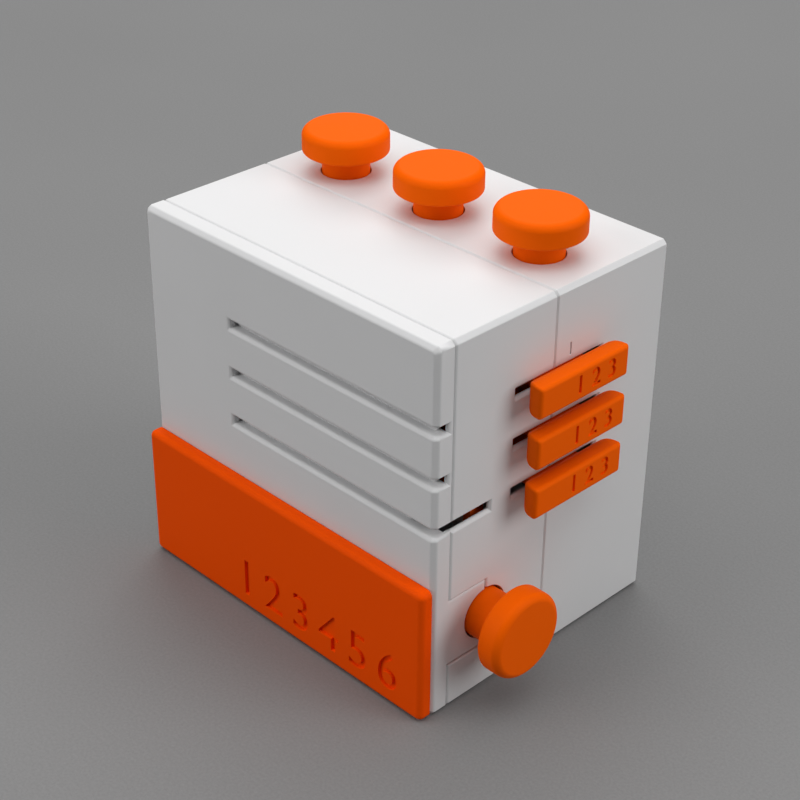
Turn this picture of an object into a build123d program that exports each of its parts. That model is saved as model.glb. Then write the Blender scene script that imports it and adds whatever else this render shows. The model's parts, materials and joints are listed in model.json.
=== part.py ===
from build123d import *
import os

# Combination lock box: a housing of three shells, a drawer, three sliders, three top pins and a side plunger.
# Millimetres. +X points to the plunger's side, +Y to the back, +Z up.
# The origin is the centre of the housing on the surface that it stands on.

# Housing
width = 90.0
depth = 70.0
height = 90.0
wall = 3.0
cover_depth = 5.0
middle_depth = 29.4
edge_chamfer = 1.0
seam_chamfer = 0.4
divider = 1.5
left_duct = 7.5
right_duct = 13.5
shelf_z = 33.6

# Clearances
running_gap = 0.3
seat_gap = 0.1
gate_gap = 0.5

# Grooves and slider slots, from the top one down
top_slot_z = 71.0
slot_pitch = 12.0
slot_count = 3
slot_height = 2.0
slot_lip = 0.6
groove_length = 62.4
groove_depth = 2.5
groove_end_wall = 1.2
slot_web = 1.2
channel_margin = 2.8
channel_reach = 4.0
window_width = 9.0
window_depth = 16.3
slider_slot_start = 23.1
slider_end_play = 0.4

# Sliders: the bar outside and the gate plate inside
slider_step = 5.0
bar_start = 23.0
bar_length = 27.4
bar_height = 7.3
bar_thickness = 5.8
bar_gap = 0.9
bar_face_radius = 0.9
bar_back_radius = 3.1
bar_end_radius = 4.8
neck_length = 15.5
neck_engagement = 4.1
plate_thickness = 1.7
tongue_web = 9.7
pin_hole_margin = 5.0
index_offset = 39.3
index_width = 0.45
index_length = 3.0
index_depth = 0.5
index_rise = 2.7

# Comb that carries the tongues of the gate plates
comb_thickness = 3.0
comb_rib = 2.0
comb_rib_height = 2.5

# Knobs, the same on the top pins and on the plunger
knob_radius = 10.0
knob_thickness = 5.6
knob_face_chamfer = 1.1
knob_gap = 0.5

# Top pins
pin_setback = 45.0
first_pin_x = 30.3
pin_pitch = 29.4
pin_travel = 4.4
pin_radius = 5.5
pin_play = 0.3
stem_radius = 3.0
tip_radius = 1.5
tip_gap = 1.0
clip_thickness = 2.5
clip_lap = 2.0

# Side plunger and the fence that it carries
plunger_setback = 16.0
plunger_z = 20.0
plunger_travel = 6.6
plunger_radius = 5.75
plunger_play = 0.5
bolt_radius = 3.0
fence_thickness = 2.0
fence_width = 4.0
fence_rise = 5.0
hub_lap = 1.8
tab_height = 16.6
tab_root = 1.0
tab_chamfer = 0.4

# Drawer
front_thickness = 3.0
front_gap = 0.2
front_chamfer = 1.1
front_corner_radius = 1.5
mouth_height = 28.4
tray_wall = 2.0
tray_corner_radius = 2.0
drawer_travel = 52.0

# Housing screws
screw_radius = 1.5
screw_head_radius = 2.75
screw_head_height = 3.0
screw_bite = 3.5
boss_size = 6.0
boss_sink = 0.5
top_boss_spread = 30.0

# Planes that several pieces share
left_x = -width / 2
right_x = width / 2
front_y = -depth / 2
back_y = depth / 2
inner_left_x = left_x + wall
inner_right_x = right_x - wall
cover_back_y = front_y + cover_depth
seam_y = cover_back_y + middle_depth
inner_back_y = back_y - wall
shelf_top_z = shelf_z + wall
ceiling_z = height - wall
bay_left_x = inner_left_x + left_duct + divider
bay_right_x = inner_right_x - right_duct - divider

slot_zs = [top_slot_z - slot_pitch * i for i in range(slot_count)]
pin_xs = [first_pin_x - pin_pitch * i for i in range(slot_count)]
pin_y = front_y + pin_setback
plunger_y = front_y + plunger_setback

neck_front_y = front_y + slider_slot_start + slider_end_play + slider_step
neck_back_y = neck_front_y + neck_length
slider_slot_end = neck_back_y + slider_step + slider_end_play
bar_front_y = front_y + bar_start
bar_back_x = right_x + bar_gap

fence_right_x = inner_right_x - running_gap
fence_left_x = fence_right_x - fence_thickness
gate_bottom_x = fence_left_x - plunger_travel - gate_gap
tongue_right_x = fence_left_x - gate_gap
tongue_left_x = gate_bottom_x - tongue_web
arm_front_y = pin_y - slider_step - pin_hole_margin
arm_back_y = pin_y + slider_step + pin_hole_margin
comb_back_y = arm_front_y - slider_step - comb_rib - gate_gap
comb_front_y = comb_back_y - comb_thickness

pin_hole_radius = pin_radius + pin_play
plunger_hole_radius = plunger_radius + plunger_play
bolt_end_x = bay_right_x + running_gap
clip_top_z = ceiling_z - running_gap
clip_half = pin_radius + clip_lap

tray_left_x = bay_left_x + running_gap
tray_right_x = bay_right_x - running_gap
tray_bottom_z = wall + running_gap
tray_top_z = wall + mouth_height - running_gap
tray_front_y = front_y - front_gap
tray_back_y = cover_back_y + drawer_travel + running_gap + tray_wall

boss_z = wall + boss_size / 2 - boss_sink
top_boss_z = ceiling_z - boss_size / 2 + boss_sink
low_boss_x = inner_right_x - boss_size / 2 + boss_sink
boss_places = [
    (-low_boss_x, boss_z),
    (low_boss_x, boss_z),
    (-top_boss_spread / 2, top_boss_z),
    (top_boss_spread / 2, top_boss_z),
]
comb_top_z = top_boss_z - boss_size / 2 - running_gap
screw_head_y = back_y - screw_head_height
screw_end_y = cover_back_y - screw_bite


def rectangle(u0, u1, v0, v1):
    """Rectangle given by its limits along the two directions of its plane."""
    return Pos(u0, v0) * Rectangle(u1 - u0, v1 - v0, align=(Align.MIN, Align.MIN))


def along_x(sketch, x0, x1):
    """Extrude a sketch of (Y, Z) from x0 to x1."""
    return extrude(Plane.YZ.offset(x0) * sketch, x1 - x0)


def along_y(sketch, y0, y1):
    """Extrude a sketch of (X, Z) from y0 to y1."""
    return extrude(Plane.XZ.offset(-y0) * sketch, y1 - y0, dir=(0, 1, 0))


def along_z(sketch, z0, z1):
    """Extrude a sketch of (X, Y) from z0 to z1."""
    return extrude(Plane.XY.offset(z0) * sketch, z1 - z0)


def outer_block(y0, y1, front_edge, back_edge):
    """Slice of the housing's outer form between two Y planes, with its rim edges chamfered."""
    outline = rectangle(left_x, right_x, 0, height)
    outline = chamfer(outline.vertices(), edge_chamfer)
    block = along_y(outline, y0, y1)
    block = chamfer(block.faces().sort_by(Axis.Y)[0].edges(), front_edge)
    return chamfer(block.faces().sort_by(Axis.Y)[-1].edges(), back_edge)


def at_bosses(sketch):
    """Copies of a sketch of (X, Z) at the four screw bosses."""
    return [Pos(x, z) * sketch for x, z in boss_places]


def compartments():
    """Section of the lock chamber, the drawer bay and the ducts beside it."""
    section = rectangle(inner_left_x, inner_right_x, shelf_top_z, ceiling_z)
    section += rectangle(bay_left_x, bay_right_x, wall, shelf_z)
    section += rectangle(inner_left_x, bay_left_x - divider, wall, shelf_z)
    return section + rectangle(bay_right_x + divider, inner_right_x, wall, shelf_z)


def screw_holes():
    """Clearance for the four housing screws and their heads."""
    shanks = along_y(Sketch() + at_bosses(Circle(screw_radius + seat_gap)), screw_end_y - seat_gap, back_y)
    heads = Sketch() + at_bosses(Circle(screw_head_radius + seat_gap))
    return shanks + along_y(heads, screw_head_y, back_y)


def side_slot(y0, y1, z):
    """Cutter for a slot through the right wall, with a flared lip on the outside."""
    low = z - slot_height / 2
    high = z + slot_height / 2
    slot = along_x(rectangle(y0, y1, low, high), inner_right_x, right_x)
    mouth = rectangle(y0 - slot_lip, y1 + slot_lip, low - slot_lip, high + slot_lip)
    return slot + extrude(Plane.YZ.offset(right_x) * mouth, -slot_lip, taper=45)


def slider_slot(z):
    """Cutter for a slider's slot, as long as its neck and its travel."""
    return side_slot(front_y + slider_slot_start, slider_slot_end, z)


def front_groove(z):
    """Cutter for a groove that runs along the front to the right edge, with a flared lip."""
    start = right_x - groove_length
    beyond = right_x + edge_chamfer
    low = z - slot_height / 2
    high = z + slot_height / 2
    groove = along_y(rectangle(start, beyond, low, high), front_y, front_y + groove_depth)
    mouth = rectangle(start - slot_lip, beyond, low - slot_lip, high + slot_lip)
    return groove + extrude(Plane.XZ.offset(-front_y) * mouth, -slot_lip, taper=45)


def corner_groove(z):
    """Cutter that carries a front groove round the right edge, almost to the first seam."""
    beyond = front_y - edge_chamfer
    low = z - slot_height / 2
    high = z + slot_height / 2
    end = cover_back_y - groove_end_wall
    groove = along_x(rectangle(beyond, end, low, high), right_x - groove_depth, right_x)
    mouth = rectangle(beyond, end + slot_lip, low - slot_lip, high + slot_lip)
    return groove + extrude(Plane.YZ.offset(right_x) * mouth, -slot_lip, taper=45)


def corner_lip(z):
    """Cutter that carries the flared lip of a groove across the chamfered right edge."""
    outline = rectangle(left_x, right_x, front_y, cover_back_y)
    outline = chamfer(outline.vertices().sort_by(Axis.X)[-2:].sort_by(Axis.Y)[:1], edge_chamfer)
    low = z - slot_height / 2 - slot_lip
    high = z + slot_height / 2 + slot_lip
    below = extrude(Plane.XY.offset(low) * outline, slot_lip, taper=45)
    above = extrude(Plane.XY.offset(high) * outline, -slot_lip, taper=45)
    reach = edge_chamfer + slot_lip
    corner = along_z(rectangle(right_x - reach, right_x, front_y, front_y + reach), low, high)
    return corner - below - above


def window(z):
    """Cutter that opens the lowest groove to the inside, round the corner and along the side wall."""
    low = z - slot_height / 2
    high = z + slot_height / 2
    front = along_y(rectangle(right_x - window_width, right_x, low, high), front_y, cover_back_y)
    return front + side_slot(front_y - slot_lip, front_y + window_depth, z)


def slot_channel(z):
    """Cutter for the channel inside the right wall that leaves a thin web round a slot."""
    half = slot_height / 2 + channel_margin
    section = rectangle(inner_right_x - channel_reach, right_x - slot_web, z - half, z + half)
    return along_y(section, front_y + groove_depth + slot_web, slider_slot_end + channel_margin)


def plunger_hole():
    """Cutter for the plunger's hole in the right wall."""
    return along_x(Pos(plunger_y, plunger_z) * Circle(plunger_hole_radius), inner_right_x, right_x)


def tab_outline(gap):
    """Section of the tab that closes the front half of the plunger's hole, grown by a gap."""
    half = tab_height / 2 + gap
    return rectangle(cover_back_y - tab_root, plunger_y + gap, plunger_z - half, plunger_z + half)


def tab():
    """Tab of the front cover, with its three outer edges chamfered."""
    plate = along_x(tab_outline(0), inner_right_x, right_x)
    edges = plate.faces().sort_by(Axis.X)[-1].edges().sort_by(Axis.Y)[1:]
    return chamfer(edges, tab_chamfer)


def tab_notch():
    """Cutter for the notch in the middle shell that takes the tab, with a flared lip."""
    notch = along_x(tab_outline(seat_gap), inner_right_x, right_x)
    mouth = tab_outline(seat_gap + tab_chamfer)
    return notch + extrude(Plane.YZ.offset(right_x) * mouth, -tab_chamfer, taper=45)


def front_cover():
    """Front plate with the drawer's mouth, the wrapped grooves and the bearing tab."""
    cover = outer_block(front_y, cover_back_y, edge_chamfer, seam_chamfer)
    mouth = rectangle(bay_left_x, bay_right_x, wall, wall + mouth_height)
    cover -= along_y(mouth, front_y, cover_back_y)
    cover += tab()
    cover -= plunger_hole()
    for z in slot_zs:
        cover -= front_groove(z)
        cover -= corner_groove(z)
        cover -= corner_lip(z)
        cover -= slot_channel(z)
    cover -= window(slot_zs[-1])
    return cover - screw_holes()


def comb_ribs():
    """Two ribs along the left wall and the shelf that hold the comb between them."""
    track = rectangle(inner_left_x, inner_left_x + comb_rib_height, shelf_top_z, ceiling_z)
    track += rectangle(inner_left_x, tongue_left_x, shelf_top_z, shelf_top_z + comb_rib_height)
    front = along_y(track, comb_front_y - seat_gap - comb_rib, comb_front_y - seat_gap)
    return front + along_y(track, comb_back_y + seat_gap, comb_back_y + seat_gap + comb_rib)


def middle_shell():
    """Tube section between the seams, with shelf, dividers and the comb's ribs. The screws pass inside it."""
    shell = outer_block(cover_back_y, seam_y, seam_chamfer, seam_chamfer)
    shell -= along_y(compartments(), cover_back_y, seam_y)
    shell += comb_ribs()
    shell -= tab_notch()
    shell -= plunger_hole()
    bearing = Pos(plunger_y, plunger_z) * Circle(bolt_radius + running_gap)
    shell -= along_x(bearing, bay_right_x, bay_right_x + divider)
    half_width = fence_width / 2 + gate_gap
    fence_slot = rectangle(gate_bottom_x, inner_right_x, plunger_y - half_width, plunger_y + half_width)
    shell -= along_z(fence_slot, shelf_z, shelf_top_z)
    shell -= window(slot_zs[-1])
    for z in slot_zs:
        shell -= slider_slot(z)
        shell -= slot_channel(z)
    return shell


def rear_shell():
    """Back section with the rear wall, screw bosses, top pins' holes, slider slots and the index line."""
    shell = outer_block(seam_y, back_y, seam_chamfer, edge_chamfer)
    bosses = at_bosses(Rectangle(boss_size, boss_size))
    shell -= along_y(compartments() - bosses, seam_y, inner_back_y)
    for x in pin_xs:
        shell -= along_z(Pos(x, pin_y) * Circle(pin_hole_radius), ceiling_z, height)
    for z in slot_zs:
        shell -= slider_slot(z)
        shell -= slot_channel(z)
    index_y = front_y + index_offset
    index_z = top_slot_z + index_rise
    index = rectangle(index_y - index_width / 2, index_y + index_width / 2, index_z, index_z + index_length)
    shell -= along_x(index, right_x - index_depth, right_x)
    return shell - screw_holes()


def guide_comb():
    """Comb that stands in the lock chamber, with a slit for each gate plate."""
    left = inner_left_x + seat_gap
    comb = rectangle(left, tongue_right_x, shelf_top_z, comb_top_z)
    half = slot_height / 2
    for z in slot_zs:
        comb -= rectangle(tongue_left_x - running_gap, tongue_right_x, z - half, z + half)
    return along_y(comb, comb_front_y, comb_back_y)


def screw():
    """One housing screw along Y, its axis on the Y axis."""
    shank = along_y(Circle(screw_radius), screw_end_y, screw_head_y)
    head = along_y(Circle(screw_head_radius), screw_head_y, back_y - seat_gap)
    return shank + head


def housing_screws():
    """The four screws that draw the three shells together from the back."""
    return Compound(children=[Pos(x, 0, z) * screw() for x, z in boss_places])


def slider_handle(z):
    """Bar outside the wall, rounded towards the wall, with a socket for the gate plate's neck."""
    x1 = bar_back_x + bar_thickness
    plan = rectangle(bar_back_x, x1, bar_front_y, bar_front_y + bar_length)
    plan = fillet(plan.vertices().group_by(Axis.X)[0], bar_end_radius)
    section = rectangle(bar_back_x, x1, z - bar_height / 2, z + bar_height / 2)
    section = fillet(section.vertices().group_by(Axis.X)[0], bar_back_radius)
    bar = along_z(plan, z - bar_height / 2, z + bar_height / 2)
    bar &= along_y(section, bar_front_y, bar_front_y + bar_length)
    bar = fillet(bar.faces().sort_by(Axis.X)[-1].edges(), bar_face_radius)
    half = plate_thickness / 2 + seat_gap
    socket = rectangle(neck_front_y - seat_gap, neck_back_y + seat_gap, z - half, z + half)
    return bar - along_x(socket, bar_back_x, bar_back_x + neck_engagement + seat_gap)


def gate_plate(z, pin_x):
    """Flat plate inside: notched tongue at the front, arm with pin holes behind, neck through the wall."""
    tongue_front_y = cover_back_y + gate_gap + slider_step
    outline = rectangle(tongue_left_x, tongue_right_x, tongue_front_y, arm_back_y)
    outline += rectangle(pin_x - clip_half, inner_right_x - running_gap, arm_front_y, arm_back_y)
    outline += rectangle(tongue_left_x, bar_back_x + neck_engagement, neck_front_y, neck_back_y)
    notch_front_y = plunger_y - fence_width / 2 - gate_gap
    notch_back_y = plunger_y + fence_width / 2 + gate_gap + slider_step
    outline -= rectangle(gate_bottom_x, tongue_right_x, notch_front_y, notch_back_y)
    hole = Circle(tip_radius + running_gap)
    outline -= [Pos(pin_x, pin_y + slider_step * i) * hole for i in (-1, 0, 1)]
    return along_z(outline, z - plate_thickness / 2, z + plate_thickness / 2)


def knob_points(stand):
    """Half section of a knob whose underside is at a height, from its shaft outwards."""
    top = stand + knob_thickness
    return [
        (knob_radius, stand),
        (knob_radius, top - knob_face_chamfer),
        (knob_radius - knob_face_chamfer, top),
        (0, top),
    ]


def turned(points):
    """Solid turned about Z from a half section of (radius, height) points."""
    return revolve(Plane.XZ * make_face(Polyline(*points, close=True)), Axis.Z)


def clip(shaft_radius):
    """Flat fork pushed over a shaft from the side, as a sketch centred on the shaft."""
    half_slot = shaft_radius + seat_gap
    return Rectangle(2 * clip_half, 2 * clip_half) - rectangle(-half_slot, clip_half, -half_slot, half_slot)


def top_pin(x, plate_z):
    """Knob, shaft, stem and tip of a top pin. The tip ends above its gate plate."""
    end = plate_z + plate_thickness / 2 + tip_gap
    stem_end = end + pin_travel + tip_gap
    stand = height + pin_travel + knob_gap
    points = [
        (0, end),
        (tip_radius, end),
        (tip_radius, stem_end),
        (stem_radius, stem_end),
        (stem_radius, clip_top_z),
        (pin_radius, clip_top_z),
        (pin_radius, stand),
    ]
    return Pos(x, pin_y, 0) * turned(points + knob_points(stand))


def pin_clip(x):
    """Clip on a top pin's stem, against the end of its shaft and just under the ceiling."""
    return along_z(Pos(x, pin_y) * clip(stem_radius), clip_top_z - clip_thickness, clip_top_z)


def plunger():
    """Knob and shaft of the side plunger, and the bolt that enters the drawer's side."""
    stand = right_x + plunger_travel + knob_gap
    points = [
        (0, bolt_end_x),
        (bolt_radius, bolt_end_x),
        (bolt_radius, fence_right_x),
        (plunger_radius, fence_right_x),
        (plunger_radius, stand),
    ]
    return Pos(0, plunger_y, plunger_z) * Rot(0, 90, 0) * turned(points + knob_points(stand))


def fence():
    """Square hub on the plunger's bolt, with a blade that stands beside the notches of the gate plates."""
    blade_top_z = top_slot_z + fence_rise
    hub_size = 2 * (plunger_hole_radius + hub_lap)
    outline = Pos(plunger_y, plunger_z) * Rectangle(hub_size, hub_size)
    outline += rectangle(plunger_y - fence_width / 2, plunger_y + fence_width / 2, plunger_z, blade_top_z)
    outline -= Pos(plunger_y, plunger_z) * Circle(bolt_radius + seat_gap)
    return along_x(outline, fence_left_x, fence_right_x)


def plunger_clip():
    """Clip on the bolt that keeps the fence against the end of the shaft."""
    return along_x(Pos(plunger_y, plunger_z) * clip(bolt_radius), fence_left_x - clip_thickness, fence_left_x)


def drawer_front():
    """Front plate of the drawer, as wide as the housing, with rounded corners and a chamfered rim."""
    outline = rectangle(left_x, right_x, running_gap, shelf_z)
    outline = fillet(outline.vertices(), front_corner_radius)
    plate = along_y(outline, tray_front_y - front_thickness, tray_front_y)
    return chamfer(plate.faces().sort_by(Axis.Y)[0].edges(), front_chamfer)


def drawer_tray():
    """Open tray with rounded inner corners, a raised rear lip as its stop and a hole for the bolt."""
    outline = rectangle(tray_left_x, tray_right_x, tray_front_y, tray_back_y)
    inside = rectangle(
        tray_left_x + tray_wall,
        tray_right_x - tray_wall,
        tray_front_y + tray_wall,
        tray_back_y - tray_wall,
    )
    inside = fillet(inside.vertices(), tray_corner_radius)
    tray = along_z(outline, tray_bottom_z, tray_top_z)
    tray -= along_z(inside, tray_bottom_z + tray_wall, tray_top_z)
    lip = rectangle(tray_left_x, tray_right_x, tray_back_y - tray_wall, tray_back_y)
    tray += along_z(lip, tray_top_z, shelf_z - running_gap)
    hole = Pos(plunger_y, plunger_z) * Circle(bolt_radius + running_gap)
    return tray - along_x(hole, tray_right_x - tray_wall, tray_right_x)


parts = {
    "front_cover": front_cover(),
    "middle_shell": middle_shell(),
    "rear_shell": rear_shell(),
    "guide_comb": guide_comb(),
    "housing_screws": housing_screws(),
    "plunger": plunger(),
    "fence": fence(),
    "plunger_clip": plunger_clip(),
    "drawer_front": drawer_front(),
    "drawer_tray": drawer_tray(),
}
for number, (slot_z, pin_x) in enumerate(zip(slot_zs, pin_xs), start=1):
    parts[f"slider_handle_{number}"] = slider_handle(slot_z)
    parts[f"gate_plate_{number}"] = gate_plate(slot_z, pin_x)
    parts[f"top_pin_{number}"] = top_pin(pin_x, slot_z)
    parts[f"pin_clip_{number}"] = pin_clip(pin_x)

os.makedirs("parts", exist_ok=True)
for name, part in parts.items():
    export_step(part, f"parts/{name}.step")
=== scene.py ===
"""Combination lock box: soft-edged mouldings, turned knobs, numbered bars, screws and a studio stage."""

import json
import math

import bmesh
import bpy
from mathutils import Matrix, Quaternion, Vector


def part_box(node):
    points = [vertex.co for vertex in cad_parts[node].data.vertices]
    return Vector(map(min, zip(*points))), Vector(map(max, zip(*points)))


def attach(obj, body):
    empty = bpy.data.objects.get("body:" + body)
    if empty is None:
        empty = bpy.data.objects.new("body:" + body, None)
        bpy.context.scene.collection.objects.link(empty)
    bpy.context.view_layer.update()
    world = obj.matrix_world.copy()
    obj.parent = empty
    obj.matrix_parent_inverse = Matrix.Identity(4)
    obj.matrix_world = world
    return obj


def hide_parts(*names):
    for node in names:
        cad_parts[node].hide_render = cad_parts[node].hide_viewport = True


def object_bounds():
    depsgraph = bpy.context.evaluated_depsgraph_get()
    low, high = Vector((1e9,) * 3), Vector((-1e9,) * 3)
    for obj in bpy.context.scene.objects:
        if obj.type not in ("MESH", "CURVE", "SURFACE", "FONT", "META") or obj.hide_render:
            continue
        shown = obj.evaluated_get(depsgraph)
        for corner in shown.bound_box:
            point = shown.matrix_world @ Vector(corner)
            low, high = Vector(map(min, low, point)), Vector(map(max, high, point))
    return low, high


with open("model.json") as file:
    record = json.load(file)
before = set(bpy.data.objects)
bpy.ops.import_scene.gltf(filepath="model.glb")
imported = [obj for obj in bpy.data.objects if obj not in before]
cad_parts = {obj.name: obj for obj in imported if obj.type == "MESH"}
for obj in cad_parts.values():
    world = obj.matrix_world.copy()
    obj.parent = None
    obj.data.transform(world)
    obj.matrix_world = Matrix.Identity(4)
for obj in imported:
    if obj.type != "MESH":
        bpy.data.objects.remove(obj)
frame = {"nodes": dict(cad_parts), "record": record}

bl_info = {
    "name": "Combination Lock Box",
    "version": (1, 0, 0),
    "blender": (4, 5, 0),
    "location": "3D View > Sidebar > Lock Box",
    "description": "Finishes the housing, knobs, sliders and drawer of a combination lock box",
    "category": "Object",
}

MM = 0.001
CAD_BOX = [list(corner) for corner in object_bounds()]

# Rows of the lock, each with a top pin and a slider, and the numbers cut in the bars and the drawer
ROWS = (1, 2, 3)
BAR_NUMBERS = "123"
DRAWER_NUMBERS = "123456"

# Points nearer to each other than this are one point, in a solid and in a digit
MERGE_DISTANCE = 0.001 * MM
DIGIT_MERGE_DISTANCE = 0.002 * MM

# Faces that turn by less are one flat face, and edges that turn by more are shaded sharp
FLAT_ANGLE = math.radians(0.5)
CREASE_ANGLE = math.radians(35)

# Facets across a moulded edge, across a knob's edge, along a digit's curve and round the floor
EDGE_STEPS = 3
KNOB_EDGE_STEPS = 4
DIGIT_STEPS = 6
FLOOR_STEPS = 64

# Axes that a pin is turned on, and turns that stand a drawing up on a wall, facing outwards
ALONG_X, ALONG_Z = 0, 2
ON_RIGHT = Matrix(((0, 0, 1), (1, 0, 0), (0, 1, 0))).to_4x4()
ON_FRONT = Matrix(((1, 0, 0), (0, 0, -1), (0, 1, 0))).to_4x4()

# Fineness of the patterns, in waves per metre
PLASTIC_CLOUD, PLASTIC_GRAIN, PLASTIC_PEEL = 45.0, 5200.0, 900.0
STEEL_STREAK = 900.0
FLOOR_CLOUD, FLOOR_SPECKLE = 7.0, 1500.0

PLASTIC_IOR = 1.46

# Sockets of a colour Mix node
MIX_FACTOR, MIX_FIRST, MIX_SECOND, MIX_RESULT = 0, 6, 7, 2

SENSOR_WIDTH = 36
NEAREST_SEEN = 10 * MM


# Values that a user would change


def length(name, description, millimetres):
    """A length as a property."""
    return bpy.props.FloatProperty(
        name=name, description=description, default=millimetres * MM, unit="LENGTH", precision=5
    )


def place(name, description, millimetres):
    """A point as a property."""
    return bpy.props.FloatVectorProperty(
        name=name, description=description, default=[v * MM for v in millimetres], subtype="XYZ"
    )


def color(name, description, default):
    """A colour as a property."""
    return bpy.props.FloatVectorProperty(
        name=name, description=description, default=default, subtype="COLOR", min=0, max=1
    )


def angle(name, description, degrees):
    """An angle as a property."""
    return bpy.props.FloatProperty(
        name=name, description=description, default=math.radians(degrees), subtype="ANGLE"
    )


def factor(name, description, default):
    """A level from 0 to 1 as a property."""
    return bpy.props.FloatProperty(
        name=name, description=description, default=default, subtype="FACTOR", min=0, max=1
    )


def power(name, description, watts):
    """A lamp's power as a property."""
    return bpy.props.FloatProperty(name=name, description=description, default=watts, unit="POWER", min=0)


def count(name, description, default):
    """A whole number as a property."""
    return bpy.props.IntProperty(name=name, description=description, default=default, min=1)


class BoxSizes(bpy.types.PropertyGroup):
    """Sizes of the finished edges, turned pieces, bars and numbers."""

    edge_radius: length("Edge Radius", "Rounding of the moulded edges", 0.2)
    cover_edge_radius: length("Cover Edge Radius", "Rounding of the front cover's edges", 0.3)
    cover_soft_depth: length("Cover Soft Depth", "Depth behind the cover's face with soft edges", 2.0)
    crisp_angle: angle("Crisp Angle", "Edges that turn by more than this are rounded", 20)
    turned_steps: count("Turned Steps", "Facets round a knob", 160)
    arc_steps: count("Arc Steps", "Facets of a quarter round", 8)

    shaft_radius: length("Pin Shaft Radius", "Radius of a top pin's shaft", 5.5)
    plunger_radius: length("Plunger Shaft Radius", "Radius of the plunger's shaft", 5.75)
    stem_radius: length("Stem Radius", "Radius of a pin's stem and of the plunger's tip", 3.0)
    tip_radius: length("Tip Radius", "Radius of a pin's tip", 1.5)
    tip_length: length("Tip Length", "Length of a pin's tip below its stem", 5.4)
    knob_thickness: length("Knob Thickness", "Thickness of a knob's head", 5.6)
    knob_chamfer: length("Knob Chamfer", "Chamfer round a knob's face", 1.1)
    knob_edge_radius: length("Knob Edge Radius", "Rounding of a knob's edges", 0.6)

    bar_face_radius: length("Bar Face Radius", "Rounding round a bar's outer face", 0.9)
    bar_back_radius: length("Bar Back Radius", "Rounding of a bar's long edges at the wall", 3.1)
    bar_end_radius: length("Bar End Radius", "Rounding of a bar's ends at the wall", 4.8)
    bar_corner_radius: length("Bar Corner Radius", "Rounding of a bar's four corners", 0.5)
    panel_corner: length("Panel Corner Radius", "Corners of the drawer's front", 1.5)
    panel_edge: length("Panel Edge Radius", "Rounding round the face of the drawer's front", 1.4)

    number_size: length("Bar Number Size", "Type size of the numbers on the bars", 5.9)
    number_pitch: length("Bar Number Pitch", "Distance between a bar's numbers", 5.0)
    number_shift: length("Bar Number Shift", "From a bar's middle to its middle number", 3.2)
    number_depth: length("Bar Number Depth", "Depth of the numbers cut in the bars", 0.5)
    number_weight: length("Bar Number Weight", "Thickening of the numbers' strokes", 0.12)
    label_size: length("Label Size", "Type size of the drawer's numbers", 13.6)
    label_pitch: length("Label Pitch", "Distance between the drawer's numbers", 9.2)
    label_x: length("Label X", "Middle of the drawer's numbers, across the box", 12.0)
    label_z: length("Label Z", "Middle of the drawer's numbers, above the floor", 8.4)
    label_depth: length("Label Depth", "Depth of the drawer's numbers", 0.8)
    label_weight: length("Label Weight", "Thickening of the drawer's numbers", 0.02)
    socket_width: length("Socket Width", "Across the flats of a screw's hex socket", 2.5)
    socket_depth: length("Socket Depth", "Depth of a screw's hex socket", 1.5)


class BoxFinish(bpy.types.PropertyGroup):
    """Colours, gloss and relief of the materials."""

    white: color("White", "Colour of the housing", (0.735, 0.735, 0.74))
    orange: color("Orange", "Colour of the knobs and sliders", (1.0, 0.126, 0.0005))
    # The drawer's orange is the same orange made darker, as painted shade for its less lit front.
    shade_darkened_orange: color("Shade Darkened Orange", "Colour of the drawer", (1.0, 0.088, 0.0005))
    steel: color("Steel", "Colour of the screws", (0.50, 0.51, 0.53))
    floor: color("Floor", "Colour of the studio floor", (0.22, 0.22, 0.22))

    white_gloss: factor("White Gloss", "Specular level of the housing", 0.30)
    orange_gloss: factor("Orange Gloss", "Specular level of the orange pieces", 0.03)
    floor_gloss: factor("Floor Gloss", "Specular level of the studio floor", 0.2)
    plastic_roughness: factor("Plastic Roughness", "Mean roughness of the plastic", 0.5)
    steel_roughness: factor("Steel Roughness", "Roughness of the screws at their smoothest", 0.26)
    floor_roughness: factor("Floor Roughness", "Roughness of the studio floor", 0.85)
    plastic_relief: length("Plastic Relief", "Height of the plastic's grain and orange peel", 0.012)
    steel_relief: length("Steel Relief", "Height of the screws' turning marks", 0.01)
    floor_relief: length("Floor Relief", "Height of the floor's speckle", 0.05)


class StageSettings(bpy.types.PropertyGroup):
    """Camera, lamps and surroundings."""

    lens: bpy.props.FloatProperty(
        name="Lens", description="Focal length in millimetres", default=80.643, unit="CAMERA"
    )
    aim: place("Aim", "Point the camera looks at", (4.65, -4.94, 49.33))
    distance: length("Distance", "From the aim to the camera", 400)
    azimuth: angle("Azimuth", "Turn of the camera round the box", 45.213)
    elevation: angle("Elevation", "Height of the camera as an angle", 30.785)
    roll: angle("Roll", "Turn of the camera on its own axis", 0.533)

    overhead_place: place("Overhead Place", "Middle of the lamp overhead", (0, 0, 1500))
    overhead_size: length("Overhead Size", "Side of the lamp overhead", 2000)
    overhead_power: power("Overhead Power", "Power of the lamp overhead", 22.0)
    left_place: place("Left Place", "Middle of the lamp at the front left", (-750, -1500, 850))
    left_size: length("Left Size", "Side of the lamp at the front left", 1200)
    left_power: power("Left Power", "Power of the lamp at the front left", 12.3)
    right_place: place("Right Place", "Middle of the lamp at the right", (1500, 750, 850))
    right_size: length("Right Size", "Side of the lamp at the right", 1200)
    right_power: power("Right Power", "Power of the lamp at the right", 15.2)
    back_place: place("Back Place", "Middle of the lamp behind", (-700, 700, 1000))
    back_size: length("Back Size", "Side of the lamp behind", 1000)
    back_power: power("Back Power", "Power of the lamp behind", 6.0)
    backdrop: factor("Backdrop", "Brightness of the backdrop", 0.2)
    floor_radius: length("Floor Radius", "Radius of the studio floor", 3000)


# Shader building


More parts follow.
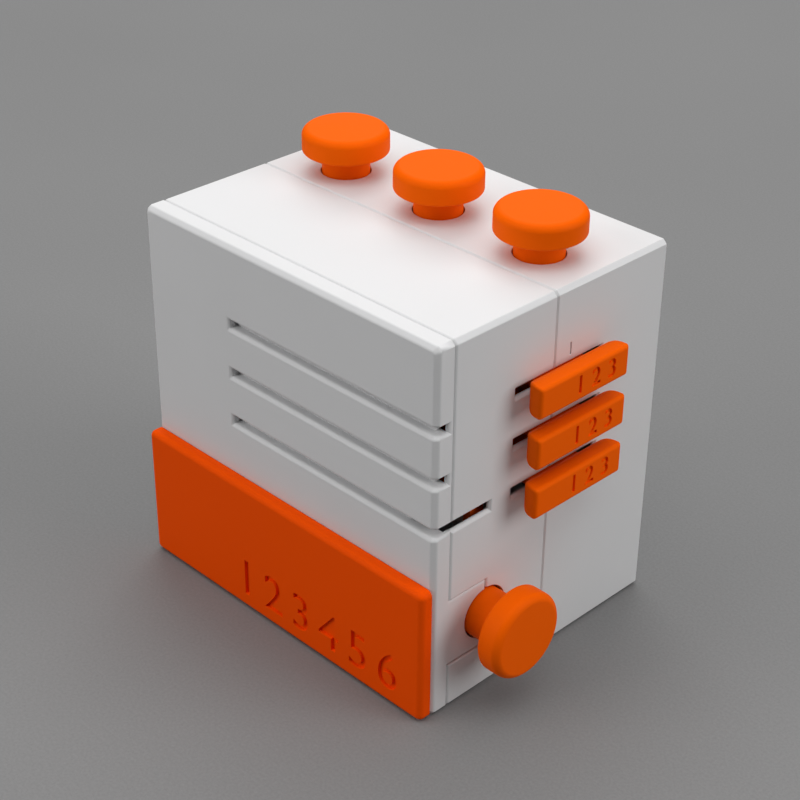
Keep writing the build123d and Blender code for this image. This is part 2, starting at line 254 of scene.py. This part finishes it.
class Wire:
    """An output socket that takes part in arithmetic: every operator adds a Math node."""

    def __init__(self, nodes, socket):
        self.nodes = nodes
        self.socket = socket

    def _math(self, operation, first, second):
        return self.nodes.add("ShaderNodeMath", {"operation": operation}, {0: first, 1: second})

    def __add__(self, other):
        return self._math("ADD", self, other)

    def __radd__(self, other):
        return self._math("ADD", other, self)

    def __sub__(self, other):
        return self._math("SUBTRACT", self, other)

    def __rsub__(self, other):
        return self._math("SUBTRACT", other, self)

    def __mul__(self, other):
        return self._math("MULTIPLY", self, other)

    def __rmul__(self, other):
        return self._math("MULTIPLY", other, self)


class Nodes:
    """Node tree of one material or world, built from its textures to its output."""

    def __init__(self, owner):
        self.owner = owner
        owner.use_nodes = True
        self.tree = owner.node_tree
        self.tree.nodes.clear()

    def add(self, kind, settings=None, inputs=None, output=0):
        """Add a node with its settings, then the values or links of its sockets. Returns one output."""
        node = self.tree.nodes.new(kind)
        for key, value in (settings or {}).items():
            setattr(node, key, value)
        for key, value in (inputs or {}).items():
            if isinstance(value, Wire):
                self.tree.links.new(value.socket, node.inputs[key])
            else:
                node.inputs[key].default_value = value
        return Wire(self, node.outputs[output]) if node.outputs else None

    def point(self):
        """Point on the piece in the box's own frame, in metres."""
        return self.add("ShaderNodeTexCoord", output="Object")

    def noise(self, point, scale, detail=2.0, roughness=0.5):
        """Soft noise from 0 to 1, its scale in waves per metre."""
        inputs = {"Vector": point, "Scale": scale, "Detail": detail, "Roughness": roughness}
        return self.add("ShaderNodeTexNoise", {}, inputs)

    def tone(self, mix, rgb, darkest, lightest):
        """One colour, scaled from darkest to lightest as mix goes from 0 to 1."""
        inputs = {MIX_FACTOR: mix, MIX_FIRST: shade(rgb, darkest), MIX_SECOND: shade(rgb, lightest)}
        return self.add("ShaderNodeMix", {"data_type": "RGBA"}, inputs, MIX_RESULT)

    def bump(self, height, distance, strength):
        """Normal of a relief whose height, from 0 to 1, stands for a distance."""
        return self.add("ShaderNodeBump", {}, {"Height": height, "Distance": distance, "Strength": strength})

    def surface(self, inputs):
        """Close a material's tree with a Principled surface. Returns the material."""
        principled = self.add("ShaderNodeBsdfPrincipled", {}, inputs)
        self.add("ShaderNodeOutputMaterial", {}, {"Surface": principled})
        return self.owner


def shade(rgb, scale):
    """The colour with its light scaled, as RGBA."""
    return tuple(min(1.0, channel * scale) for channel in rgb) + (1.0,)


def satin_plastic(name, finish, rgb, gloss):
    """Smooth printed plastic: a faint cloud in tone, a fine grain and an orange-peel relief."""
    nodes = Nodes(bpy.data.materials.new(name))
    point = nodes.point()
    cloud = nodes.noise(point, PLASTIC_CLOUD, detail=3.0) - 0.5
    grain = nodes.noise(point, PLASTIC_GRAIN, detail=1.0) - 0.5
    peel = nodes.noise(point, PLASTIC_PEEL) - 0.5
    return nodes.surface(
        {
            "Base Color": nodes.tone(0.5 + cloud * 0.9 + grain * 0.5, rgb, darkest=0.975, lightest=1.02),
            "Roughness": finish.plastic_roughness + cloud * 0.10 + grain * 0.08,
            "Normal": nodes.bump(grain * 0.6 + peel * 0.4, finish.plastic_relief, strength=0.6),
            "Specular IOR Level": gloss,
            "IOR": PLASTIC_IOR,
        }
    )


def bright_steel(name, finish, rgb):
    """Bright steel with turning marks and a slightly uneven polish."""
    nodes = Nodes(bpy.data.materials.new(name))
    stretched = nodes.add("ShaderNodeMapping", {}, {"Vector": nodes.point(), "Scale": (1.0, 12.0, 1.0)})
    streak = nodes.noise(stretched, STEEL_STREAK, detail=3.0)
    return nodes.surface(
        {
            "Base Color": nodes.tone(streak, rgb, darkest=0.85, lightest=1.1),
            "Roughness": finish.steel_roughness + streak * 0.16,
            "Metallic": 1.0,
            "Normal": nodes.bump(streak, finish.steel_relief, strength=0.5),
        }
    )


def grey_card(name, finish, rgb):
    """Matt grey floor with a fine speckle."""
    nodes = Nodes(bpy.data.materials.new(name))
    point = nodes.point()
    cloud = nodes.noise(point, FLOOR_CLOUD) - 0.5
    speckle = nodes.noise(point, FLOOR_SPECKLE, roughness=0.7)
    return nodes.surface(
        {
            "Base Color": nodes.tone(cloud * 0.4 + speckle * 1.3 - 0.15, rgb, darkest=0.88, lightest=1.12),
            "Roughness": finish.floor_roughness,
            "Normal": nodes.bump(speckle, finish.floor_relief, strength=0.5),
            "Specular IOR Level": finish.floor_gloss,
        }
    )


def material(slot):
    """The finish of a material slot, the drawer's orange darkened as painted shade, or the floor, made once.
    """
    finish = bpy.context.scene.lock_box_finish
    makers = {
        "white_plastic": (satin_plastic, finish.white, finish.white_gloss),
        "orange_plastic": (satin_plastic, finish.orange, finish.orange_gloss),
        # The drawer's pieces take the orange darkened as painted shade.
        "drawer_plastic": (satin_plastic, finish.shade_darkened_orange, finish.orange_gloss),
        "steel": (bright_steel, finish.steel),
        "floor": (grey_card, finish.floor),
    }
    make, *look = makers[slot]
    name = f"finished_{slot}"
    return bpy.data.materials.get(name) or make(name, finish, *look)


# Mesh building


def sizes():
    """The sizes that the panel shows."""
    return bpy.context.scene.lock_box_sizes


def slot_of(node):
    """The record's material slot of a CAD node."""
    return next(part["material_slot"] for part in frame["record"]["subparts"] if part["node"] == node)


def body_of(node):
    """The body that a CAD node belongs to."""
    bodies = frame["record"]["behaviour"]["bodies"]
    return next(body for body, nodes in bodies.items() if node in nodes)


def crease(mesh):
    """Shade a mesh smooth, but not across its edges."""
    mesh.shade_smooth()
    mesh.set_sharp_from_angle(angle=CREASE_ANGLE)


def add_piece(bm, name, node, finish=None):
    """Turn a bmesh into a finished piece that replaces a CAD node and rides on its body."""
    mesh = bpy.data.meshes.new(name)
    bm.to_mesh(mesh)
    bm.free()
    crease(mesh)
    mesh.materials.append(material(finish or slot_of(node)))
    piece = bpy.data.objects.new(name, mesh)
    bpy.context.scene.collection.objects.link(piece)
    normals = piece.modifiers.new("even_shading", "WEIGHTED_NORMAL")
    normals.keep_sharp = True
    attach(piece, body_of(node))
    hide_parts(node)
    return piece


def crisp_edges(bm):
    """The edges that turn sharply."""
    limit = sizes().crisp_angle
    return [e for e in bm.edges if len(e.link_faces) == 2 and e.calc_face_angle() > limit]


def round_off(bm, corners, radius, steps=EDGE_STEPS, affect="EDGES", clamp=True):
    """Round the given edges or vertices."""
    bmesh.ops.bevel(
        bm,
        geom=corners,
        offset=radius,
        offset_type="OFFSET",
        affect=affect,
        segments=steps,
        profile=0.5,
        material=-1,
        clamp_overlap=clamp,
    )


def node_copy(node):
    """A CAD node's form as a bmesh of whole faces."""
    bm = bmesh.new()
    bm.from_mesh(frame["nodes"][node].data)
    bmesh.ops.remove_doubles(bm, verts=bm.verts, dist=MERGE_DISTANCE)
    bmesh.ops.dissolve_limit(bm, angle_limit=FLAT_ANGLE, verts=bm.verts, edges=bm.edges)
    return bm


def soft_piece(node, name, finish=None):
    """A CAD node's form with its sharp edges rounded, as printed plastic has them."""
    bm = node_copy(node)
    round_off(bm, crisp_edges(bm), sizes().edge_radius)
    return add_piece(bm, name, node, finish)


def spun(profile, origin, axis):
    """Closed solid turned from a half section of (radius, height) points, standing at origin along axis."""
    bm = bmesh.new()
    verts = [bm.verts.new((radius, 0, height)) for radius, height in profile]
    edges = [bm.edges.new(pair) for pair in zip(verts, verts[1:])]
    bmesh.ops.spin(
        bm,
        geom=verts + edges,
        axis=(0, 0, 1),
        cent=(0, 0, 0),
        angle=2 * math.pi,
        steps=sizes().turned_steps,
        use_merge=True,
    )
    bmesh.ops.remove_doubles(bm, verts=bm.verts, dist=MERGE_DISTANCE)
    turn = Vector((0, 0, 1)).rotation_difference(axis).to_matrix().to_4x4()
    return put(bm, Matrix.Translation(origin) @ turn)


def turned_pin(node, axis, shaft, steps):
    """Turn a knob, as wide as the first, and its shaft. Steps are the (radius, height) corners below it."""
    size = sizes()
    low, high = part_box(node)
    knob_low, knob_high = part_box("top_pin_1")
    radius = (knob_high.x - knob_low.x) / 2
    base, top = low[axis], high[axis]
    stand, rim = top - size.knob_thickness, top - size.knob_chamfer
    knob = [(shaft, stand), (radius, stand), (radius, rim), (radius - size.knob_chamfer, top), (0, top)]
    origin = (low + high) / 2
    origin[axis] = 0
    direction = Vector()
    direction[axis] = 1
    bm = spun([(0, base), *steps, *knob], origin, direction)
    round_off(bm, crisp_edges(bm), size.knob_edge_radius, KNOB_EDGE_STEPS)
    add_piece(bm, f"{node}_turned", node)


def round_inset(depth, radius):
    """How far a quarter round of a radius stands back at a depth below its face."""
    rest = max(0.0, radius - depth)
    return radius - math.sqrt(radius * radius - rest * rest)


def arc_depths(radius):
    """Depths below a face that split its quarter round evenly, from the face inwards."""
    steps = sizes().arc_steps
    return [radius * (1 - math.cos(math.pi / 2 * step / steps)) for step in range(steps + 1)]


def stacked(layers, corner):
    """Closed solid of layers about the Z axis, each (half_x, half_y, z), with round corners."""
    bm = bmesh.new()
    half_x, half_y, z = layers[0]
    bmesh.ops.create_grid(bm, x_segments=1, y_segments=1, size=1)
    bmesh.ops.transform(bm, matrix=Matrix.Diagonal((half_x, half_y, 1, 1)), verts=bm.verts)
    bmesh.ops.translate(bm, verts=bm.verts, vec=(0, 0, z))
    round_off(bm, bm.verts, corner, sizes().arc_steps, affect="VERTICES")
    bm.faces.ensure_lookup_table()
    base = face = bm.faces[0]
    for low, high in zip(layers, layers[1:]):
        grown = bmesh.ops.extrude_face_region(bm, geom=[face])["geom"]
        if face != base:
            bmesh.ops.delete(bm, geom=[face], context="FACES_ONLY")
        face = next(item for item in grown if isinstance(item, bmesh.types.BMFace))
        wider, longer, higher = (after - before for before, after in zip(low, high))
        for vert in face.verts:
            side_x, side_y = math.copysign(1, vert.co.x), math.copysign(1, vert.co.y)
            vert.co += Vector((wider * side_x, longer * side_y, higher))
    return bm


def put(bm, to_box):
    """Take a solid to its place in the box."""
    bmesh.ops.transform(bm, matrix=to_box, verts=bm.verts)
    bmesh.ops.recalc_face_normals(bm, faces=bm.faces)
    return bm


def islands(bm):
    """The separate solids of a bmesh, each as a list of its vertices."""
    left = set(bm.verts)
    while left:
        found = [left.pop()]
        for vert in found:
            for edge in vert.link_edges:
                other = edge.other_vert(vert)
                if other in left:
                    left.remove(other)
                    found.append(other)
        yield found


# Cutting


def cutter_of(bm):
    """A bmesh as an object to cut with."""
    mesh = bpy.data.meshes.new("cutter")
    bm.to_mesh(mesh)
    bm.free()
    cutter = bpy.data.objects.new("cutter", mesh)
    bpy.context.scene.collection.objects.link(cutter)
    bpy.context.view_layer.update()
    return cutter


def hex_cutter(middle, width, depth):
    """Hexagonal prism along Y whose middle lies on a screw's end face."""
    bm = bmesh.new()
    bmesh.ops.create_cone(
        bm,
        cap_ends=True,
        segments=6,
        radius1=width / math.sqrt(3),
        radius2=width / math.sqrt(3),
        depth=2 * depth,
        matrix=Matrix.Translation(middle) @ Matrix.Rotation(math.pi / 2, 4, "X"),
    )
    return cutter_of(bm)


def digit_cutter(digit, size, weight, depth, to_face):
    """A digit as a solid, half of it below the face. to_face takes its plane there, its z outwards."""
    curve = bpy.data.curves.new("digit", "FONT")
    curve.body = digit
    curve.size = size
    curve.align_x = "CENTER"
    curve.align_y = "CENTER"
    curve.offset = weight
    curve.resolution_u = DIGIT_STEPS
    holder = bpy.data.objects.new("digit", curve)
    bpy.context.scene.collection.objects.link(holder)
    bpy.context.view_layer.update()
    mesh = bpy.data.meshes.new_from_object(holder.evaluated_get(bpy.context.evaluated_depsgraph_get()))
    bpy.data.objects.remove(holder)
    bm = bmesh.new()
    bm.from_mesh(mesh)
    bmesh.ops.remove_doubles(bm, verts=bm.verts, dist=DIGIT_MERGE_DISTANCE)
    bmesh.ops.translate(bm, verts=bm.verts, vec=(0, 0, -depth))
    grown = bmesh.ops.extrude_face_region(bm, geom=bm.faces)["geom"]
    upper = [item for item in grown if isinstance(item, bmesh.types.BMVert)]
    bmesh.ops.translate(bm, verts=upper, vec=(0, 0, 2 * depth))
    return cutter_of(put(bm, to_face))


def cut(piece, cutter):
    """Take the cutter's volume from a piece, and drop the cutter."""
    shading = piece.modifiers["even_shading"]
    shading.show_viewport = False
    boolean = piece.modifiers.new("cut", "BOOLEAN")
    boolean.operation = "DIFFERENCE"
    boolean.solver = "EXACT"
    boolean.use_self = True
    boolean.object = cutter
    graph = bpy.context.evaluated_depsgraph_get()
    mesh = bpy.data.meshes.new_from_object(piece.evaluated_get(graph), depsgraph=graph)
    piece.modifiers.remove(boolean)
    shading.show_viewport = True
    crease(mesh)
    piece.data = mesh
    bpy.data.objects.remove(cutter)


def cut_row(piece, digits, pitch, size, weight, depth, to_middle):
    """Cut a row of digits in a face. to_middle takes a digit's plane to the row's middle, its z outwards."""
    for index, digit in enumerate(digits):
        along = (index - (len(digits) - 1) / 2) * pitch
        to_face = to_middle @ Matrix.Translation((along, 0, 0))
        cut(piece, digit_cutter(digit, size, weight, depth, to_face))


# Operators, one for each piece or group of like pieces


class LOCKBOX_OT_housing(bpy.types.Operator):
    """Finish the three shells of the housing and the comb inside"""

    bl_idname = "lockbox.housing"
    bl_label = "Housing"

    def execute(self, context):
        self.add_cover()
        for node in ("middle_shell", "rear_shell", "guide_comb"):
            soft_piece(node, f"{node}_moulding")
        return {"FINISHED"}

    def add_cover(self):
        """The cover is softened only near its face: an unclamped bevel would tear the thin edges behind."""
        size = sizes()
        bm = node_copy("front_cover")
        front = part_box("front_cover")[0].y + size.cover_soft_depth
        soft = [e for e in crisp_edges(bm) if all(vert.co.y < front for vert in e.verts)]
        round_off(bm, soft, size.cover_edge_radius, clamp=False)
        add_piece(bm, "front_cover_moulding", "front_cover")


class LOCKBOX_OT_screws(bpy.types.Operator):
    """Finish the four housing screws and cut their hex sockets"""

    bl_idname = "lockbox.screws"
    bl_label = "Housing Screws"

    def execute(self, context):
        size = sizes()
        bm = node_copy("housing_screws")
        ends = []
        for verts in islands(bm):
            xs, ys, zs = zip(*(vert.co for vert in verts))
            ends.append(((min(xs) + max(xs)) / 2, max(ys), (min(zs) + max(zs)) / 2))
        round_off(bm, crisp_edges(bm), size.edge_radius)
        screws = add_piece(bm, "housing_screws_turned", "housing_screws")
        for end in sorted(ends):
            cut(screws, hex_cutter(end, size.socket_width, size.socket_depth))
        return {"FINISHED"}


class LOCKBOX_OT_top_pins(bpy.types.Operator):
    """Turn the three top pins and finish their clips"""

    bl_idname = "lockbox.top_pins"
    bl_label = "Top Pins"

    def execute(self, context):
        size = sizes()
        for row in ROWS:
            node = f"top_pin_{row}"
            clip = f"pin_clip_{row}"
            tip_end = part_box(node)[0].z
            stem_end = tip_end + size.tip_length
            clip_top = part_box(clip)[1].z
            steps = [
                (size.tip_radius, tip_end),
                (size.tip_radius, stem_end),
                (size.stem_radius, stem_end),
                (size.stem_radius, clip_top),
                (size.shaft_radius, clip_top),
            ]
            turned_pin(node, ALONG_Z, size.shaft_radius, steps)
            soft_piece(clip, f"{clip}_plate")
        return {"FINISHED"}


class LOCKBOX_OT_plunger(bpy.types.Operator):
    """Turn the side plunger and finish its fence and clip"""

    bl_idname = "lockbox.plunger"
    bl_label = "Side Plunger"

    def execute(self, context):
        size = sizes()
        tip_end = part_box("plunger")[0].x
        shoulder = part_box("fence")[1].x
        steps = [(size.stem_radius, tip_end), (size.stem_radius, shoulder), (size.plunger_radius, shoulder)]
        turned_pin("plunger", ALONG_X, size.plunger_radius, steps)
        soft_piece("fence", "fence_blade")
        soft_piece("plunger_clip", "plunger_clip_plate")
        return {"FINISHED"}


class LOCKBOX_OT_sliders(bpy.types.Operator):
    """Shape the bars, cut their numbers and finish the gate plates"""

    bl_idname = "lockbox.sliders"
    bl_label = "Sliders"

    def execute(self, context):
        for row in ROWS:
            self.add_bar(row)
            soft_piece(f"gate_plate_{row}", f"gate_plate_{row}_cut")
        return {"FINISHED"}

    def add_bar(self, row):
        """A bar is stacked from its face to the wall, where its ends are rounder than its long edges."""
        size = sizes()
        node = f"slider_handle_{row}"
        low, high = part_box(node)
        middle = (low + high) / 2
        half_y, half_z, thickness = (high.y - low.y) / 2, (high.z - low.z) / 2, high.x - low.x
        heights = {*arc_depths(size.bar_back_radius), *arc_depths(size.bar_end_radius)}
        depths = arc_depths(size.bar_face_radius)
        face_end = depths[-1]
        depths += [depth for depth in sorted(thickness - height for height in heights) if depth > face_end]
        layers = []
        for depth in depths:
            face = round_inset(depth, size.bar_face_radius)
            end = round_inset(thickness - depth, size.bar_end_radius)
            back = round_inset(thickness - depth, size.bar_back_radius)
            layers.append((half_y - face - end, half_z - face - back, -depth))
        to_face = Matrix.Translation((high.x, middle.y, middle.z)) @ ON_RIGHT
        bar = add_piece(put(stacked(layers, size.bar_corner_radius), to_face), f"slider_bar_{row}", node)
        cut_row(
            bar,
            BAR_NUMBERS,
            size.number_pitch,
            size.number_size,
            size.number_weight,
            size.number_depth,
            to_face @ Matrix.Translation((size.number_shift, 0, 0)),
        )


class LOCKBOX_OT_drawer(bpy.types.Operator):
    """Shape the drawer's front, cut its numbers and finish the tray"""

    bl_idname = "lockbox.drawer"
    bl_label = "Drawer"

    def execute(self, context):
        size = sizes()
        low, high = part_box("drawer_front")
        middle = (low + high) / 2
        half_x, half_z, thickness = (high.x - low.x) / 2, (high.z - low.z) / 2, high.y - low.y
        bm = stacked([(half_x, half_z, -thickness), (half_x, half_z, 0)], size.panel_corner)
        rim = [edge for edge in bm.edges if all(abs(vert.co.z) < MERGE_DISTANCE for vert in edge.verts)]
        round_off(bm, rim, size.panel_edge, size.arc_steps)
        put(bm, Matrix.Translation((middle.x, low.y, middle.z)) @ ON_FRONT)
        # The drawer's front takes the orange darkened as painted shade.
        panel = add_piece(bm, "drawer_front_panel", "drawer_front", "drawer_plastic")
        cut_row(
            panel,
            DRAWER_NUMBERS,
            size.label_pitch,
            size.label_size,
            size.label_weight,
            size.label_depth,
            Matrix.Translation((size.label_x, low.y, size.label_z)) @ ON_FRONT,
        )
        # The tray takes the same orange darkened as painted shade.
        soft_piece("drawer_tray", "drawer_tray_moulding", "drawer_plastic")
        return {"FINISHED"}


class LOCKBOX_OT_stage(bpy.types.Operator):
    """Set up the floor, the lamps, the backdrop and the camera"""

    bl_idname = "lockbox.stage"
    bl_label = "Studio Stage"

    def execute(self, context):
        settings = context.scene.lock_box_stage
        self.add_floor(context, settings)
        for name in ("overhead", "left", "right", "back"):
            self.add_softbox(context, settings, name)
        self.add_backdrop(context, settings)
        self.add_camera(context, settings)
        context.scene.view_settings.view_transform = "Standard"
        return {"FINISHED"}

    def add_floor(self, context, settings):
        """A round floor that the box stands on."""
        bm = bmesh.new()
        bmesh.ops.create_circle(bm, cap_ends=True, segments=FLOOR_STEPS, radius=settings.floor_radius)
        mesh = bpy.data.meshes.new("studio_floor")
        bm.to_mesh(mesh)
        bm.free()
        mesh.materials.append(material("floor"))
        floor = bpy.data.objects.new("studio_floor", mesh)
        context.scene.collection.objects.link(floor)

    def add_softbox(self, context, settings, name):
        """A square lamp that faces the middle of the box."""
        lamp = bpy.data.lights.new(f"{name}_softbox", "AREA")
        lamp.shape = "SQUARE"
        lamp.size = getattr(settings, f"{name}_size")
        lamp.energy = getattr(settings, f"{name}_power")
        holder = bpy.data.objects.new(f"{name}_softbox", lamp)
        context.scene.collection.objects.link(holder)
        holder.location = getattr(settings, f"{name}_place")
        target = (Vector(CAD_BOX[0]) + Vector(CAD_BOX[1])) / 2
        holder.rotation_euler = (target - holder.location).to_track_quat("-Z", "Y").to_euler()

    def add_backdrop(self, context, settings):
        """A backdrop that is seen, mirrored and seen through glass, but lights nothing."""
        nodes = Nodes(bpy.data.worlds.new("studio_backdrop"))
        seen = nodes.add("ShaderNodeLightPath", output="Is Camera Ray")
        mirrored = nodes.add("ShaderNodeLightPath", output="Is Glossy Ray")
        through = nodes.add("ShaderNodeLightPath", output="Is Transmission Ray")
        strength = (seen + mirrored + through) * settings.backdrop
        light = nodes.add("ShaderNodeBackground", {}, {"Color": (1, 1, 1, 1), "Strength": strength})
        nodes.add("ShaderNodeOutputWorld", {}, {"Surface": light})
        context.scene.world = nodes.owner

    def add_camera(self, context, settings):
        """A camera that looks at its aim from azimuth and elevation, turned by its roll."""
        lens = bpy.data.cameras.new("camera")
        lens.sensor_width = SENSOR_WIDTH
        lens.lens = settings.lens
        lens.clip_start = NEAREST_SEEN
        lens.clip_end = 2 * settings.floor_radius
        camera = bpy.data.objects.new("camera", lens)
        context.scene.collection.objects.link(camera)
        level, rise = math.cos(settings.elevation), math.sin(settings.elevation)
        back = Vector((math.sin(settings.azimuth) * level, -math.cos(settings.azimuth) * level, rise))
        camera.location = Vector(settings.aim) + back * settings.distance
        camera.rotation_mode = "QUATERNION"
        camera.rotation_quaternion = (-back).to_track_quat("-Z", "Y") @ Quaternion((0, 0, 1), settings.roll)
        context.scene.camera = camera


GROUPS = {"lock_box_sizes": BoxSizes, "lock_box_finish": BoxFinish, "lock_box_stage": StageSettings}
OPERATORS = (
    LOCKBOX_OT_housing,
    LOCKBOX_OT_screws,
    LOCKBOX_OT_top_pins,
    LOCKBOX_OT_plunger,
    LOCKBOX_OT_sliders,
    LOCKBOX_OT_drawer,
    LOCKBOX_OT_stage,
)


class LOCKBOX_PT_panel(bpy.types.Panel):
    """Lists the box's pieces and their values"""

    bl_idname = "LOCKBOX_PT_panel"
    bl_label = "Combination Lock Box"
    bl_space_type = "VIEW_3D"
    bl_region_type = "UI"
    bl_category = "Lock Box"

    def draw(self, context):
        for operator in OPERATORS:
            self.layout.operator(operator.bl_idname)
        for group, cls in GROUPS.items():
            column = self.layout.column(align=True)
            for name in cls.__annotations__:
                column.prop(getattr(context.scene, group), name)


CLASSES = (*GROUPS.values(), *OPERATORS, LOCKBOX_PT_panel)


def register():
    for cls in CLASSES:
        bpy.utils.register_class(cls)
    for name, cls in GROUPS.items():
        setattr(bpy.types.Scene, name, bpy.props.PointerProperty(type=cls))


def unregister():
    for name in GROUPS:
        delattr(bpy.types.Scene, name)
    for cls in reversed(CLASSES):
        bpy.utils.unregister_class(cls)


def main():
    """Build every piece and the stage."""
    register()
    bpy.ops.lockbox.housing()
    bpy.ops.lockbox.screws()
    bpy.ops.lockbox.top_pins()
    bpy.ops.lockbox.plunger()
    bpy.ops.lockbox.sliders()
    bpy.ops.lockbox.drawer()
    bpy.ops.lockbox.stage()


if __name__ == "__main__":
    main()
